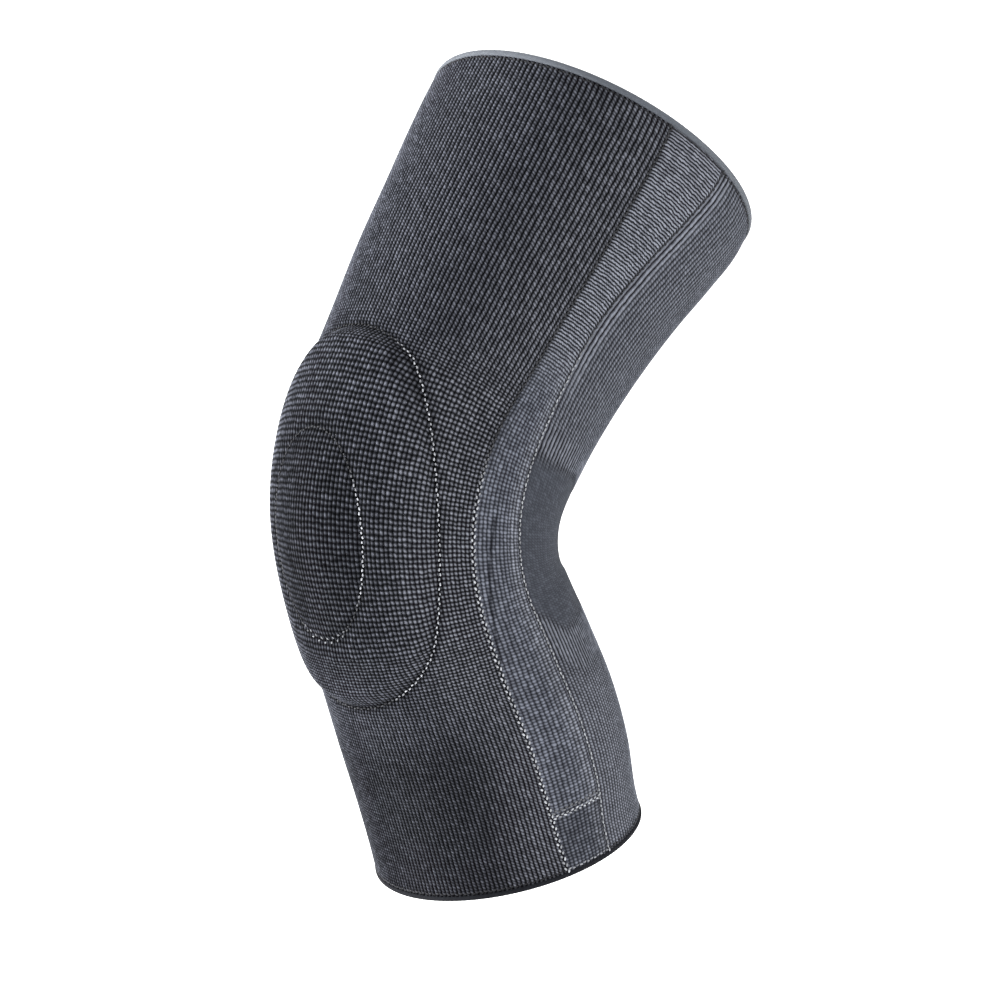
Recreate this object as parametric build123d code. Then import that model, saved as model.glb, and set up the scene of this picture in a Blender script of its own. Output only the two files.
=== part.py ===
from build123d import *
import math
import os

# A knitted compression brace for the left knee, worn and half bent.
# Frame: +Z up, the front of the knee faces -Y, the outer (lateral) side is +X.
# The origin is the middle of the knee, where the brace bends. Sizes are millimetres.

# ---- posture ----
thigh_lean = 35.5        # degrees that the thigh tube leans back from upright, going up
shin_lean = 17.0         # degrees that the shin tube leans back from upright, going down
bend_radius = 90.0       # radius of the tube's centre line through the knee

# ---- the tube ----
top_end = 187.0          # distances are along the centre line from the knee
bottom_end = -159.5
cuff_height = 12.0
thigh_cuff_radius = 77.4
calf_cuff_radius = 60.0
knee_radius = 60.2
above_knee_radius = 62.6
below_knee_radius = 58.0


def thigh_radius(share):
    """Outer radius at a share of the way from just above the knee to the thigh cuff."""
    return above_knee_radius + share * (thigh_cuff_radius - above_knee_radius)


# distance, outer radius, shift towards the front, and the angles from the front
# at which the stay channel starts and ends
stations = [
    (bottom_end, calf_cuff_radius, -16.0, 73.0, 95.0),
    (bottom_end + cuff_height, calf_cuff_radius, -16.0, 72.0, 95.0),
    (-124.0, calf_cuff_radius + 1.2, -16.6, 70.0, 95.5),
    (-97.0, calf_cuff_radius + 1.4, -15.0, 69.5, 95.5),
    (-65.0, calf_cuff_radius - 0.4, -11.0, 69.0, 95.0),
    (-32.0, below_knee_radius, -6.0, 70.5, 94.5),
    (0.0, knee_radius, -1.0, 71.0, 93.0),
    (32.0, above_knee_radius, 1.2, 72.0, 91.0),
    (62.0, thigh_radius(0.108), 2.8, 74.5, 89.5),
    (95.0, thigh_radius(0.324), 3.2, 75.5, 89.0),
    (130.0, thigh_radius(0.595), 1.0, 74.5, 92.0),
    (156.0, thigh_radius(0.851), -1.6, 72.5, 94.5),
    (top_end - cuff_height, thigh_cuff_radius, -3.4, 71.0, 95.5),
    (top_end, thigh_cuff_radius, -3.4, 70.5, 96.0),
]

# ---- layers ----
knit_thickness = 2.2
seam_gap = 0.15          # between panels that are sewn or knitted edge to edge
layer_gap = 0.2          # between layers that lie on each other
channel_thickness = 1.4
lining_thickness = 1.0
lining_overlap = 3.0     # degrees that the lining laps under the knit on each side
lining_end_gap = 1.6     # from the lining's ends to the turned-in leaves

# ---- edges: each is a folded band with a leaf turned inside the tube ----
thigh_edge_height = 3.4
calf_edge_height = 2.4
edge_rise = 0.5
leaf_thickness = 0.8
leaf_gap = 0.5
calf_leaf_height = 10.0

# ---- spiral stays, one in each side channel ----
stay_width = 9.0
stay_thickness = 1.2
stay_top = 168.0
stay_bottom = -122.0
tip_length = 7.0
tip_wall = 0.3
tip_cover = 4.0          # length of stay inside its tip
tip_side_wall = 0.8
tip_gap = 0.1            # between a tip and the channel's face or lining

# the channel's face stands this much proud of the knit, to make room for the tips
channel_rise = stay_thickness + 2 * (tip_wall + tip_gap) + channel_thickness - knit_thickness

tack_middle = -129.5    # the tack closes the channel here, below the stay
tack_height = 2.6
tack_thickness = 0.6

# ---- kneecap pad and the pocket that holds it ----
pocket_top = 50.0
pocket_bottom = -66.0
pocket_half_angle = 57.0
window_top = 18.5
window_bottom = -36.0
window_half_angle = 24.0
pad_thickness = 4.0
cover_thickness = 1.0
cover_wall = 1.2
pad_clearance = 0.3
cap_thickness = 2.4
layer_margin = 12.0      # the uncut layers run past the pocket by this much
layer_margin_angle = 8.0

# ---- where the knit bends: the knee zone between two planes ----
zone_half_height = 42.0
zone_wedge = 5.0         # degrees that each plane opens towards the back of the knee

half_bend = (thigh_lean + shin_lean) / 2
middle_lean = (thigh_lean - shin_lean) / 2
half_arc = bend_radius * math.radians(half_bend)
stay_offset = (channel_rise - channel_thickness - knit_thickness) / 2


def direction(lean):
    return Vector(0, math.sin(math.radians(lean)), math.cos(math.radians(lean)))


def front_of(lean):
    return Vector(0, -math.cos(math.radians(lean)), math.sin(math.radians(lean)))


def section_plane(distance, shift):
    """The plane square to the tube, with X to the outer side and Y to the back."""
    on_arc = max(-half_arc, min(half_arc, distance))
    lean = middle_lean + math.degrees(on_arc / bend_radius)
    point = (front_of(lean) - front_of(middle_lean)) * bend_radius
    point += direction(lean) * (distance - on_arc) + front_of(lean) * shift
    return Plane(origin=point, x_dir=(1, 0, 0), z_dir=direction(lean))


def between(distance):
    """Radius, shift and channel angles at any distance, from the two nearest stations."""
    for low, high in zip(stations, stations[1:]):
        if low[0] <= distance <= high[0]:
            share = (distance - low[0]) / (high[0] - low[0])
            return [a + (b - a) * share for a, b in zip(low[1:], high[1:])]
    return list((stations[0] if distance < bottom_end else stations[-1])[1:])


def polar(radius, angle):
    return (radius * math.sin(math.radians(angle)), -radius * math.cos(math.radians(angle)))


def band_face(plane, start, end, outer, inner):
    """A slice of a ring, from one angle to another, between two radii."""
    middle = (start + end) / 2
    outside = ThreePointArc(polar(outer, start), polar(outer, middle), polar(outer, end))
    inside = ThreePointArc(polar(inner, end), polar(inner, middle), polar(inner, start))
    sides = [Line(outside @ 1, inside @ 0), Line(inside @ 1, outside @ 0)]
    return plane * make_face(Wire([outside, sides[0], inside, sides[1]]))


def band(angles, outer_rise, inner_rise, low=bottom_end, high=top_end):
    """A layer that follows the tube from low to high. angles turns a station's radius
    and channel angles into the layer's own two angles."""
    faces = []
    for distance, radius, shift, front, back in stations:
        plane = section_plane(distance, shift)
        start, end = angles(radius, front, back)
        faces.append(band_face(plane, start, end, radius + outer_rise, radius + inner_rise))
    layer = loft(faces)
    if low > bottom_end:
        layer = split(layer, bisect_by=section_plane(low, 0), keep=Keep.TOP)
    if high < top_end:
        layer = split(layer, bisect_by=section_plane(high, 0), keep=Keep.BOTTOM)
    return layer


def gap_angle(radius):
    return math.degrees(seam_gap / 2 / radius)


def front_angles(radius, front, back):
    return -front + gap_angle(radius), front - gap_angle(radius)


def back_angles(radius, front, back):
    return back + gap_angle(radius), 360 - back - gap_angle(radius)


def channel_angles(radius, front, back):
    return front + gap_angle(radius), back - gap_angle(radius)


def lining_angles(radius, front, back):
    return front - lining_overlap, back + lining_overlap


def stay_angles(width):
    def angles(radius, front, back):
        half = math.degrees(width / 2 / radius)
        return (front + back) / 2 - half, (front + back) / 2 + half

    return angles


def pocket_angles(radius, front, back):
    reach = pocket_half_angle + layer_margin_angle
    return -reach, reach


def zone_planes():
    """The two planes that bound the knee zone, both with their normals pointing up."""
    upper = Plane(direction(middle_lean) * zone_half_height, x_dir=(1, 0, 0),
                  z_dir=direction(middle_lean - zone_wedge))
    lower = Plane(direction(middle_lean) * -zone_half_height, x_dir=(1, 0, 0),
                  z_dir=direction(middle_lean + zone_wedge))
    return upper, lower


def in_zones(layer):
    """Cut a full-length layer into its thigh, knee and shin pieces."""
    upper, lower = zone_planes()
    thigh = split(layer, bisect_by=upper, keep=Keep.TOP)
    rest = split(layer, bisect_by=upper, keep=Keep.BOTTOM)
    knee = split(rest, bisect_by=lower, keep=Keep.TOP)
    shin = split(rest, bisect_by=lower, keep=Keep.BOTTOM)
    return {"thigh": thigh, "knee": knee, "shin": shin}


def edge_band(cuff_radius, end, rim_height, leaf_height, inward):
    """A folded edge: a rim over the knit's end, and a leaf turned inside."""
    shift = between(end)[1]
    plane = section_plane(end, shift)
    leaf_outer = cuff_radius - knit_thickness - leaf_gap
    leaf_inner = leaf_outer - leaf_thickness
    rim = extrude(plane * Circle(cuff_radius + edge_rise), amount=inward * rim_height)
    leaf = extrude(plane * Circle(leaf_outer), amount=inward * leaf_height)
    bore = extrude(plane * Circle(leaf_inner), amount=inward * leaf_height * 2, both=True)
    return (rim + leaf) - bore


def front_point(distance, rise=0.0):
    radius, shift, front, back = between(distance)
    plane = section_plane(distance, shift)
    return plane.from_local_coords(Vector(0, -radius - rise, 0))


def oval_prism(top, bottom, half_angle, smaller):
    """An oval seen from the front of the knee, as a prism through the front of the tube."""
    high, low = front_point(top), front_point(bottom)
    upward = (high - low).normalized()
    facing = Vector(1, 0, 0).cross(upward)
    radius = between((top + bottom) / 2)[0]
    half_width = radius * math.sin(math.radians(half_angle)) - smaller
    half_height = (high - low).length / 2 - smaller
    plane = Plane((high + low) * 0.5 - facing * radius, x_dir=(1, 0, 0), z_dir=facing)
    return extrude(plane * Ellipse(half_width, half_height), amount=radius * 2)


def pocket_layer(outer_rise, inner_rise):
    return band(pocket_angles, outer_rise, inner_rise, pocket_bottom - layer_margin,
                pocket_top + layer_margin)


def main_knit():
    low = bottom_end + calf_edge_height + seam_gap
    high = top_end - thigh_edge_height - seam_gap
    front = in_zones(band(front_angles, 0, -knit_thickness, low, high))
    back = in_zones(band(back_angles, 0, -knit_thickness, low, high))
    return {
        "front_knit_thigh": front["thigh"],
        "front_knit_knee": front["knee"],
        "front_knit_shin": front["shin"],
        "back_knit_thigh": back["thigh"],
        "popliteal_knit": back["knee"],
        "back_knit_shin": back["shin"],
    }


def stay_channel():
    """The outer side's channel: its face, its lining, the stay, two tips and the tack."""
    low = bottom_end + calf_edge_height + seam_gap
    high = top_end - thigh_edge_height - seam_gap
    face = in_zones(band(channel_angles, channel_rise, channel_rise - channel_thickness, low, high))
    lining_top = top_end - cuff_height - lining_end_gap
    lining_bottom = bottom_end + calf_leaf_height + lining_end_gap
    lining_outer = -knit_thickness - layer_gap
    lining = in_zones(band(lining_angles, lining_outer, lining_outer - lining_thickness,
                           lining_bottom, lining_top))
    half_stay = stay_thickness / 2
    half_tip = half_stay + tip_wall
    stay = band(stay_angles(stay_width), stay_offset + half_stay, stay_offset - half_stay,
                stay_bottom, stay_top)
    tip_width = stay_width + 2 * tip_side_wall
    tip_beyond = tip_length - tip_cover
    lower_tip = band(stay_angles(tip_width), stay_offset + half_tip, stay_offset - half_tip,
                     stay_bottom - tip_beyond, stay_bottom + tip_cover) - stay
    upper_tip = band(stay_angles(tip_width), stay_offset + half_tip, stay_offset - half_tip,
                     stay_top - tip_cover, stay_top + tip_beyond) - stay
    tack_base = channel_rise + layer_gap
    tack = band(channel_angles, tack_base + tack_thickness, tack_base,
                tack_middle - tack_height / 2, tack_middle + tack_height / 2)
    pieces = {"stay": stay, "stay_upper_tip": upper_tip, "stay_lower_tip": lower_tip,
              "channel_tack": tack}
    for zone in ("thigh", "knee", "shin"):
        pieces["channel_face_" + zone] = face[zone]
        pieces["channel_lining_" + zone] = lining[zone]
    return pieces


def kneecap_pad():
    pad_base = layer_gap + pad_clearance / 2
    pad_top = pad_base + pad_thickness
    hollow_top = pad_top + pad_clearance / 2
    cover_top = hollow_top + cover_thickness
    outline = (pocket_top, pocket_bottom, pocket_half_angle)
    window = (window_top, window_bottom, window_half_angle)
    pad_inset = cover_wall + pad_clearance
    pad = pocket_layer(pad_top, pad_base) & oval_prism(*outline, pad_inset)
    pad -= oval_prism(*window, -pad_inset)
    cover = pocket_layer(cover_top, layer_gap) & oval_prism(*outline, 0)
    cover -= oval_prism(*window, 0)
    hollow = pocket_layer(hollow_top, -knit_thickness) & oval_prism(*outline, cover_wall)
    hollow -= oval_prism(*window, -cover_wall)
    cap = pocket_layer(layer_gap + cap_thickness, layer_gap) & oval_prism(*window, seam_gap)
    return {"kneecap_ring_pad": pad, "pad_pocket_cover": cover - hollow, "kneecap_knit": cap}


def all_pieces():
    pieces = main_knit()
    pieces.update(kneecap_pad())
    pieces["thigh_edge_band"] = edge_band(thigh_cuff_radius, top_end, thigh_edge_height,
                                          cuff_height, -1)
    pieces["calf_edge_band"] = edge_band(calf_cuff_radius, bottom_end, calf_edge_height,
                                         calf_leaf_height, 1)
    for name, piece in stay_channel().items():
        pieces["lateral_" + name] = piece
        pieces["medial_" + name] = mirror(piece, about=Plane.YZ)
    return pieces


os.makedirs("parts", exist_ok=True)
for name, piece in all_pieces().items():
    export_step(piece, "parts/" + name + ".step")
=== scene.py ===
import math
import bmesh
import bpy
import numpy as np
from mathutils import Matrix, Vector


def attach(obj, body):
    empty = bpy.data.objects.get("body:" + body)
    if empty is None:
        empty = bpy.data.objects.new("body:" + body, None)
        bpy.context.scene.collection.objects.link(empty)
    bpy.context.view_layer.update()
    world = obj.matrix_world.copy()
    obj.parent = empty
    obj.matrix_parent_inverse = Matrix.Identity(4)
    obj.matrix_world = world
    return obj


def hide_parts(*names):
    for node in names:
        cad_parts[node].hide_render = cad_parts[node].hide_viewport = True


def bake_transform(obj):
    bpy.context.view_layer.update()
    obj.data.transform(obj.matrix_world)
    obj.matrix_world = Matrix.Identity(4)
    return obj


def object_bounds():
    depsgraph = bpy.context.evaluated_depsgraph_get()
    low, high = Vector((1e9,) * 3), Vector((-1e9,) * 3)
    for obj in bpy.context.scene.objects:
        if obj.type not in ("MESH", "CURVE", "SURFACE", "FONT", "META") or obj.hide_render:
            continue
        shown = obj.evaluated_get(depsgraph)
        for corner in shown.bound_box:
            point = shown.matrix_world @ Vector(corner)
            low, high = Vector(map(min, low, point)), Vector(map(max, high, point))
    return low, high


# A knitted compression knee brace, worn on a half-bent left knee.
# +Z is up, -Y is the front of the knee, +X is the outer side. Metres throughout.

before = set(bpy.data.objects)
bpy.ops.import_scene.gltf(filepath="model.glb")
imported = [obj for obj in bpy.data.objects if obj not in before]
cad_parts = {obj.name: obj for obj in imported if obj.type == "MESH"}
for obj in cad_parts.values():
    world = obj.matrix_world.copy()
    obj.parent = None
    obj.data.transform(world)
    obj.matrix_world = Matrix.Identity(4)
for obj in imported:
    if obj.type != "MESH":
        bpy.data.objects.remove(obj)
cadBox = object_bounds()
print("frame loaded:", len(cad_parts), "nodes")

# Camera, floor and light.

view = dict(azimuth=48.0, elevation=6.0, distance=1.5, width=0.43, aimRight=0.0353, aimUp=0.0067)


def addObject(name, data):
    thing = bpy.data.objects.new(name, data)
    bpy.context.scene.collection.objects.link(thing)
    return thing


def makeCamera():
    turn = math.radians(view["azimuth"])
    lift = math.radians(view["elevation"])
    back = np.array([math.sin(turn) * math.cos(lift), -math.cos(turn) * math.cos(lift), math.sin(lift)])
    right = np.array([math.cos(turn), math.sin(turn), 0.0])
    up = np.cross(back, right)
    camera = bpy.data.cameras.new("camera")
    camera.sensor_width = 36.0
    camera.lens = camera.sensor_width * view["distance"] / view["width"]
    camera.clip_start = 0.01
    holder = addObject("camera", camera)
    holder.location = back * view["distance"] + right * view["aimRight"] + up * view["aimUp"]
    holder.rotation_euler = (math.pi / 2 - lift, 0.0, turn)
    bpy.context.scene.camera = holder
    return back, right


towardsCamera, cameraRight = makeCamera()

studio = dict(
    floorDrop=0.16, floorSize=6.0, floorColour=(0.97, 0.97, 0.97), floorGlow=0.30,
    curveSteps=24, curveRadius=1.2, floorFront=2.2, floorDepth=1.4, worldLight=0.95,
)
# each lamp: its place towards the camera, to the right and up, its power and its size
lamps = dict(
    keyLight=(1.3, -0.9, 1.0, 20.0, 1.0), fillLight=(1.5, 1.2, 0.3, 5.0, 1.4),
    rimLight=(-0.4, -1.5, 0.5, 85.0, 0.8), backLight=(-0.5, 1.4, 0.5, 12.0, 0.8),
)


def makeFloor():
    # a pale sheet that curves up behind the object into a wall, square to the camera
    radius, depth = studio["curveRadius"], studio["floorDepth"]
    level = cadBox[0][2] - studio["floorDrop"]
    away = -np.array([towardsCamera[0], towardsCamera[1], 0.0])
    away /= np.linalg.norm(away)
    aside = cameraRight * studio["floorSize"] / 2
    profile = [(-studio["floorFront"], 0.0), (depth, 0.0)]
    for angle in np.linspace(0.0, math.pi / 2, studio["curveSteps"] + 1)[1:]:
        profile.append((depth + radius * math.sin(angle), radius * (1 - math.cos(angle))))
    profile.append((depth + radius, studio["floorSize"]))
    verts = [(away * far + aside * side + [0, 0, level + height]).tolist()
             for far, height in profile for side in (-1, 1)]
    faces = [(2 * i, 2 * i + 1, 2 * i + 3, 2 * i + 2) for i in range(len(profile) - 1)]
    mesh = bpy.data.meshes.new("studioFloor")
    mesh.from_pydata(verts, [], faces)
    mesh.shade_smooth()
    paint = bpy.data.materials.new("studioFloor")
    paint.use_nodes = True
    looks = {"Base Color": (*studio["floorColour"], 1), "Roughness": 0.9,
             "Emission Color": (1, 1, 1, 1), "Emission Strength": studio["floorGlow"]}
    for key, value in looks.items():
        paint.node_tree.nodes["Principled BSDF"].inputs[key].default_value = value
    mesh.materials.append(paint)
    addObject("studioFloor", mesh)


def makeLights():
    for name, (near, right, high, power, size) in lamps.items():
        lamp = bpy.data.lights.new(name, "AREA")
        lamp.energy = power
        lamp.size = size
        holder = addObject(name, lamp)
        place = towardsCamera * near + cameraRight * right + [0.0, 0.0, high]
        holder.location = place
        tilt = math.atan2(math.hypot(place[0], place[1]), place[2])
        holder.rotation_euler = (tilt, 0.0, math.atan2(-place[1], -place[0]) - math.pi / 2)
    world = bpy.data.worlds.new("studio")
    world.use_nodes = True
    sky = world.node_tree.nodes["Background"]
    sky.inputs["Color"].default_value = (1, 1, 1, 1)
    sky.inputs["Strength"].default_value = studio["worldLight"]
    bpy.context.scene.world = world


makeFloor()
makeLights()
bpy.context.scene.view_settings.view_transform = "Standard"
print("camera, floor and lights made")

# The shape of the tube.

# The centre line is a straight shin, an arc through the knee and a straight thigh.
# Each row: distance along it, outer radius, shift to the front, and the angles from the front
# where the stay channel starts and ends.
tube = dict(
    thighLean=35.5, shinLean=17.0, bendRadius=0.090, top=0.187, bottom=-0.1595,
    rows=[
        (-0.1595, 0.0600, -0.0160, 73.0, 95.0),
        (-0.1475, 0.0600, -0.0160, 72.0, 95.0),
        (-0.1240, 0.0612, -0.0166, 70.0, 95.5),
        (-0.0970, 0.0614, -0.0150, 69.5, 95.5),
        (-0.0650, 0.0596, -0.0110, 69.0, 95.0),
        (-0.0320, 0.0580, -0.0060, 70.5, 94.5),
        (0.0000, 0.0602, -0.0010, 71.0, 93.0),
        (0.0320, 0.0626, 0.0012, 72.0, 91.0),
        (0.0620, 0.0642, 0.0028, 74.5, 89.5),
        (0.0950, 0.0674, 0.0032, 75.5, 89.0),
        (0.1300, 0.0714, 0.0010, 74.5, 92.0),
        (0.1560, 0.0752, -0.0016, 72.5, 94.5),
        (0.1750, 0.0774, -0.0034, 71.0, 95.5),
        (0.1870, 0.0774, -0.0034, 70.5, 96.0),
    ],
)
tubeRows = np.array(tube["rows"])
middleLean = math.radians(tube["thighLean"] - tube["shinLean"]) / 2
halfArc = tube["bendRadius"] * math.radians(tube["thighLean"] + tube["shinLean"]) / 2


def smoothColumn(column, distance):
    # a smooth curve through one column of the rows
    xs = tubeRows[:, 0]
    ys = tubeRows[:, column]
    slopes = np.gradient(ys, xs)
    distance = np.clip(distance, xs[0], xs[-1])
    index = np.clip(np.searchsorted(xs, distance) - 1, 0, len(xs) - 2)
    step = xs[index + 1] - xs[index]
    t = (distance - xs[index]) / step
    return ((2 * t**3 - 3 * t**2 + 1) * ys[index] + (t**3 - 2 * t**2 + t) * step * slopes[index]
            + (3 * t**2 - 2 * t**3) * ys[index + 1] + (t**3 - t**2) * step * slopes[index + 1])


def channelEdges(distance):
    return smoothColumn(3, distance), smoothColumn(4, distance)


def onTube(distance, angle, rise):
    # points at a distance along the tube, an angle in degrees from the front, and a rise
    distance, angle, rise = np.broadcast_arrays(distance, angle, rise)
    alongArc = np.clip(distance, -halfArc, halfArc)
    lean = middleLean + alongArc / tube["bendRadius"]
    past = distance - alongArc
    radius = smoothColumn(1, distance) + rise
    shift = smoothColumn(2, distance)
    turn = np.radians(angle)
    out = radius * np.cos(turn) + shift
    arcY = tube["bendRadius"] * (math.cos(middleLean) - np.cos(lean))
    arcZ = tube["bendRadius"] * (np.sin(lean) - math.sin(middleLean))
    x = radius * np.sin(turn)
    y = arcY + past * np.sin(lean) - out * np.cos(lean)
    z = arcZ + past * np.cos(lean) + out * np.sin(lean)
    return np.stack([x, y, z], axis=-1)


def smoothStep(low, high, value):
    t = np.clip((value - low) / (high - low), 0.0, 1.0)
    return t * t * (3 - 2 * t)


def signedAngle(angle):
    # the same angle between -180 and 180 degrees from the front
    return (angle + 180) % 360 - 180


# The pad under the knit, and the kneecap window.

pad = dict(
    outer=dict(middle=-0.0085, halfLength=0.0590, halfAngle=57.0, seamWidth=0.026),
    window=dict(middle=-0.0090, halfLength=0.0275, halfAngle=27.0, seamWidth=0.05),
    height=0.0045, edge=0.14, seamDepth=0.0010, windowShare=0.6,
    windowDip=0.0009, dipReach=1.22, dipFilled=0.6, kneecapCrown=0.0016,
)


def ovalShare(name, distance, angle):
    # 1 on the seam of the pad or of its window, less inside
    oval = pad[name]
    return np.hypot(angle / oval["halfAngle"], (distance - oval["middle"]) / oval["halfLength"])


def onOval(name, share, turn):
    # the distance and angle of a point a share of the way out to one of those seams
    oval = pad[name]
    distance = oval["middle"] + share * np.cos(turn) * oval["halfLength"]
    return distance, share * np.sin(turn) * oval["halfAngle"]


def padRise(distance, angle):
    # how far the pad lifts the knit
    angle = signedAngle(angle)
    window = ovalShare("window", distance, angle)
    rise = pad["height"] * (1 - smoothStep(1 - pad["edge"], 1.0, ovalShare("outer", distance, angle)))
    rise -= pad["windowDip"] * (1 - smoothStep(1.0, pad["dipReach"], window))
    crown = pad["windowDip"] * pad["dipFilled"] + pad["kneecapCrown"]
    return rise + crown * (1 - smoothStep(0.0, 1.0, window))


def seamGroove(distance, angle):
    # how deep the sewn lines round the pad and the window sink
    angle = signedAngle(angle)
    outer, window = (np.exp(-(((ovalShare(name, distance, angle) - 1) / pad[name]["seamWidth"]) ** 2))
                     for name in ("outer", "window"))
    return pad["seamDepth"] * np.maximum(outer, pad["windowShare"] * window)


# Meshes.

sharpAngle = 70.0
knitValues = ("ribWeight", "courseWeight", "paleness", "shading")
# a knit panel's darker, sunken edges: reach in from the side and from the end, and the painted shade there
panelEdge = dict(side=0.0017, sideShade=0.30, end=(0.0003, 0.0016), endShade=0.25, dip=0.0022)


def storeValues(mesh, values):
    for key, column in values.items():
        kind, field = ("FLOAT", "value") if np.ndim(column) == 1 else ("FLOAT_VECTOR", "vector")
        layer = mesh.attributes.new(key, kind, "POINT")
        layer.data.foreach_set(field, np.asarray(column, dtype=np.float32).ravel())


def newPiece(name, verts, faces, material, uv=None, values=None):
    mesh = bpy.data.meshes.new(name)
    mesh.from_pydata(verts.tolist(), [], faces)
    if uv is not None:
        corners = np.empty(len(mesh.loops), dtype=np.int32)
        mesh.loops.foreach_get("vertex_index", corners)
        layer = mesh.uv_layers.new(name="stitches")
        layer.data.foreach_set("uv", np.asarray(uv, dtype=np.float32)[corners].ravel())
    storeValues(mesh, values or {})
    mesh.shade_smooth()
    mesh.set_sharp_from_angle(angle=math.radians(sharpAngle))
    mesh.materials.append(material)
    return addObject(name, mesh)


def gridFaces(index):
    quads = np.stack([index[:-1, :-1], index[:-1, 1:], index[1:, 1:], index[1:, :-1]], axis=-1)
    return quads.reshape(-1, 4)


def wrapFaces(turns, count):
    # faces of a closed outline carried all the way round
    index = np.pad(np.arange(turns * count).reshape(turns, count), (0, 1), mode="wrap")
    return gridFaces(index)[:, [0, 3, 2, 1]].tolist()


def bridgeFaces(fine, coarse):
    # joins a line of points to one with half as many steps
    faces = []
    for step in range(len(coarse) - 1):
        a, b, c = fine[2 * step], fine[2 * step + 1], fine[2 * step + 2]
        p, q = coarse[step], coarse[step + 1]
        faces += [(p, b, a), (p, q, b), (q, c, b)]
    return faces


def knitPanel(name, material, startAngle, endAngle, low, high, wales, rib, rise, inside, weights,
              perWale=4, edgeDip=0.0005, paintedShade=None):
    # a closed shell of knit: a fine ribbed outer face and a plainer inner one
    courses = (high - low) / knit["course"]
    columns = 2 * int(round(wales * perWale / 2)) + 1
    rows = 2 * int(round(courses / 2)) + 1
    along = np.linspace(low, high, rows)[:, None]
    across = np.linspace(0.0, 1.0, columns)[None, :]
    start = startAngle(along)
    span = endAngle(along) - start
    angle = start + span * across
    fromEdge = np.minimum(across, 1 - across) * (np.radians(np.abs(span)) * smoothColumn(1, along))
    ribWeight, courseWeight, paleness = (np.broadcast_to(w, angle.shape) for w in weights(along, angle))
    # painted shade: darker near the panel's sides and ends, where its edges sink into the seams and under the
    # bands
    sideShade, endShade = panelEdge["sideShade"], panelEdge["endShade"]
    shading = sideShade + (1 - sideShade) * smoothStep(0.0, panelEdge["side"], fromEdge)
    fromEnd = np.minimum(knitHigh - along, along - knitLow)
    shading = shading * (endShade + (1 - endShade) * smoothStep(*panelEdge["end"], fromEnd))
    if paintedShade:
        shading = shading * paintedShade(along, angle)
    ribs = rib * ribWeight * (-0.5 * np.cos(2 * math.pi * across * wales))
    dip = edgeDip * (1 - smoothStep(0.0, panelEdge["dip"], fromEdge))
    outer = onTube(along, angle, rise(along, angle, fromEdge) + ribs - dip)
    inner = onTube(along[::2], angle[::2, ::2], inside(along[::2], angle[::2, ::2]))
    verts = np.concatenate([outer.reshape(-1, 3), inner.reshape(-1, 3)])
    fine = np.arange(rows * columns).reshape(rows, columns)
    coarse = fine.size + np.arange(inner[..., 0].size).reshape(inner.shape[:2])
    faces = gridFaces(fine).tolist() + gridFaces(coarse)[:, ::-1].tolist()
    edges = ((fine[0], coarse[0]), (fine[-1][::-1], coarse[-1][::-1]),
             (fine[:, -1], coarse[:, -1]), (fine[::-1, 0], coarse[::-1, 0]))
    for fineEdge, coarseEdge in edges:
        faces += bridgeFaces(fineEdge, coarseEdge)
    both = lambda grid: np.concatenate([grid.ravel(), grid[::2, ::2].ravel()])
    uv = np.broadcast_arrays(across * wales, (along - low) / (high - low) * courses)
    uv = np.stack([both(grid) for grid in uv], axis=-1)
    values = dict(zip(knitValues, map(both, (ribWeight, courseWeight, paleness, shading))))
    return newPiece(name, verts, faces, material, uv, values)


def padPatch(name, material, outerRise, innerRise, reach, turns=120, rings=24):
    # an oval patch of two faces, out to a share of the pad's oval, with one point in each middle
    shares = np.linspace(0.0, reach, rings + 1)[1:, None]
    distance, angle = onOval("outer", shares, np.linspace(0.0, 2 * math.pi, turns, endpoint=False))
    distance = np.append(distance, pad["outer"]["middle"])
    angle = np.append(angle, 0.0)
    rises = (outerRise(distance, angle), innerRise(distance, angle))
    verts = np.concatenate([onTube(distance, angle, rise) for rise in rises])
    half = len(distance)
    ring = np.pad(np.arange(half - 1).reshape(rings, turns), ((0, 0), (0, 1)), mode="wrap")
    quads = gridFaces(ring)
    fan = np.stack([np.full(turns, half - 1), ring[0, 1:], ring[0, :-1]], axis=-1)
    rim = gridFaces(np.stack([ring[-1], ring[-1] + half]))[:, [0, 3, 2, 1]]
    parts = (quads[:, ::-1], fan[:, ::-1], quads + half, fan + half, rim)
    faces = [face for part in parts for face in part.tolist()]
    across = np.radians(angle) * knit["kneeRadius"] / knit["ribWidth"]
    uv = np.stack([across, distance / knit["course"]], axis=-1)
    values = {key: np.full(2 * half, value) for key, value in zip(knitValues, (*knit["plainWeights"], 1.0))}
    return newPiece(name, verts, faces, material, np.tile(uv, (2, 1)), values)


def faceOut(piece):
    # turns the faces outwards if the closed shell's volume comes out negative
    mesh = bmesh.new()
    mesh.from_mesh(piece.data)
    if mesh.calc_volume(signed=True) < 0:
        bmesh.ops.reverse_faces(mesh, faces=mesh.faces)
        mesh.to_mesh(piece.data)
    mesh.free()


# Materials.

def addNode(tree, kind, inputs=None, **settings):
    # a node with its settings; each input takes a value, an output, or a node for its first output
    node = tree.nodes.new(kind)
    for key, value in settings.items():
        setattr(node, key, value)
    for key, value in (inputs or {}).items():
        if isinstance(value, bpy.types.Node):
            value = value.outputs[0]
        if isinstance(value, bpy.types.NodeSocket):
            tree.links.new(value, node.inputs[key])
        else:
            node.inputs[key].default_value = value
    return node


def calculator(tree):
    # a short way to add maths nodes to one tree
    return lambda operation, *values: addNode(
        tree, "ShaderNodeMath", dict(enumerate(values)), operation=operation)


def blendColours(tree, factor, first, second):
    first, second = ((*colour, 1) if isinstance(colour, tuple) else colour for colour in (first, second))
    return addNode(tree, "ShaderNodeMix", {0: factor, 6: first, 7: second}, data_type="RGBA").outputs[2]


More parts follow.
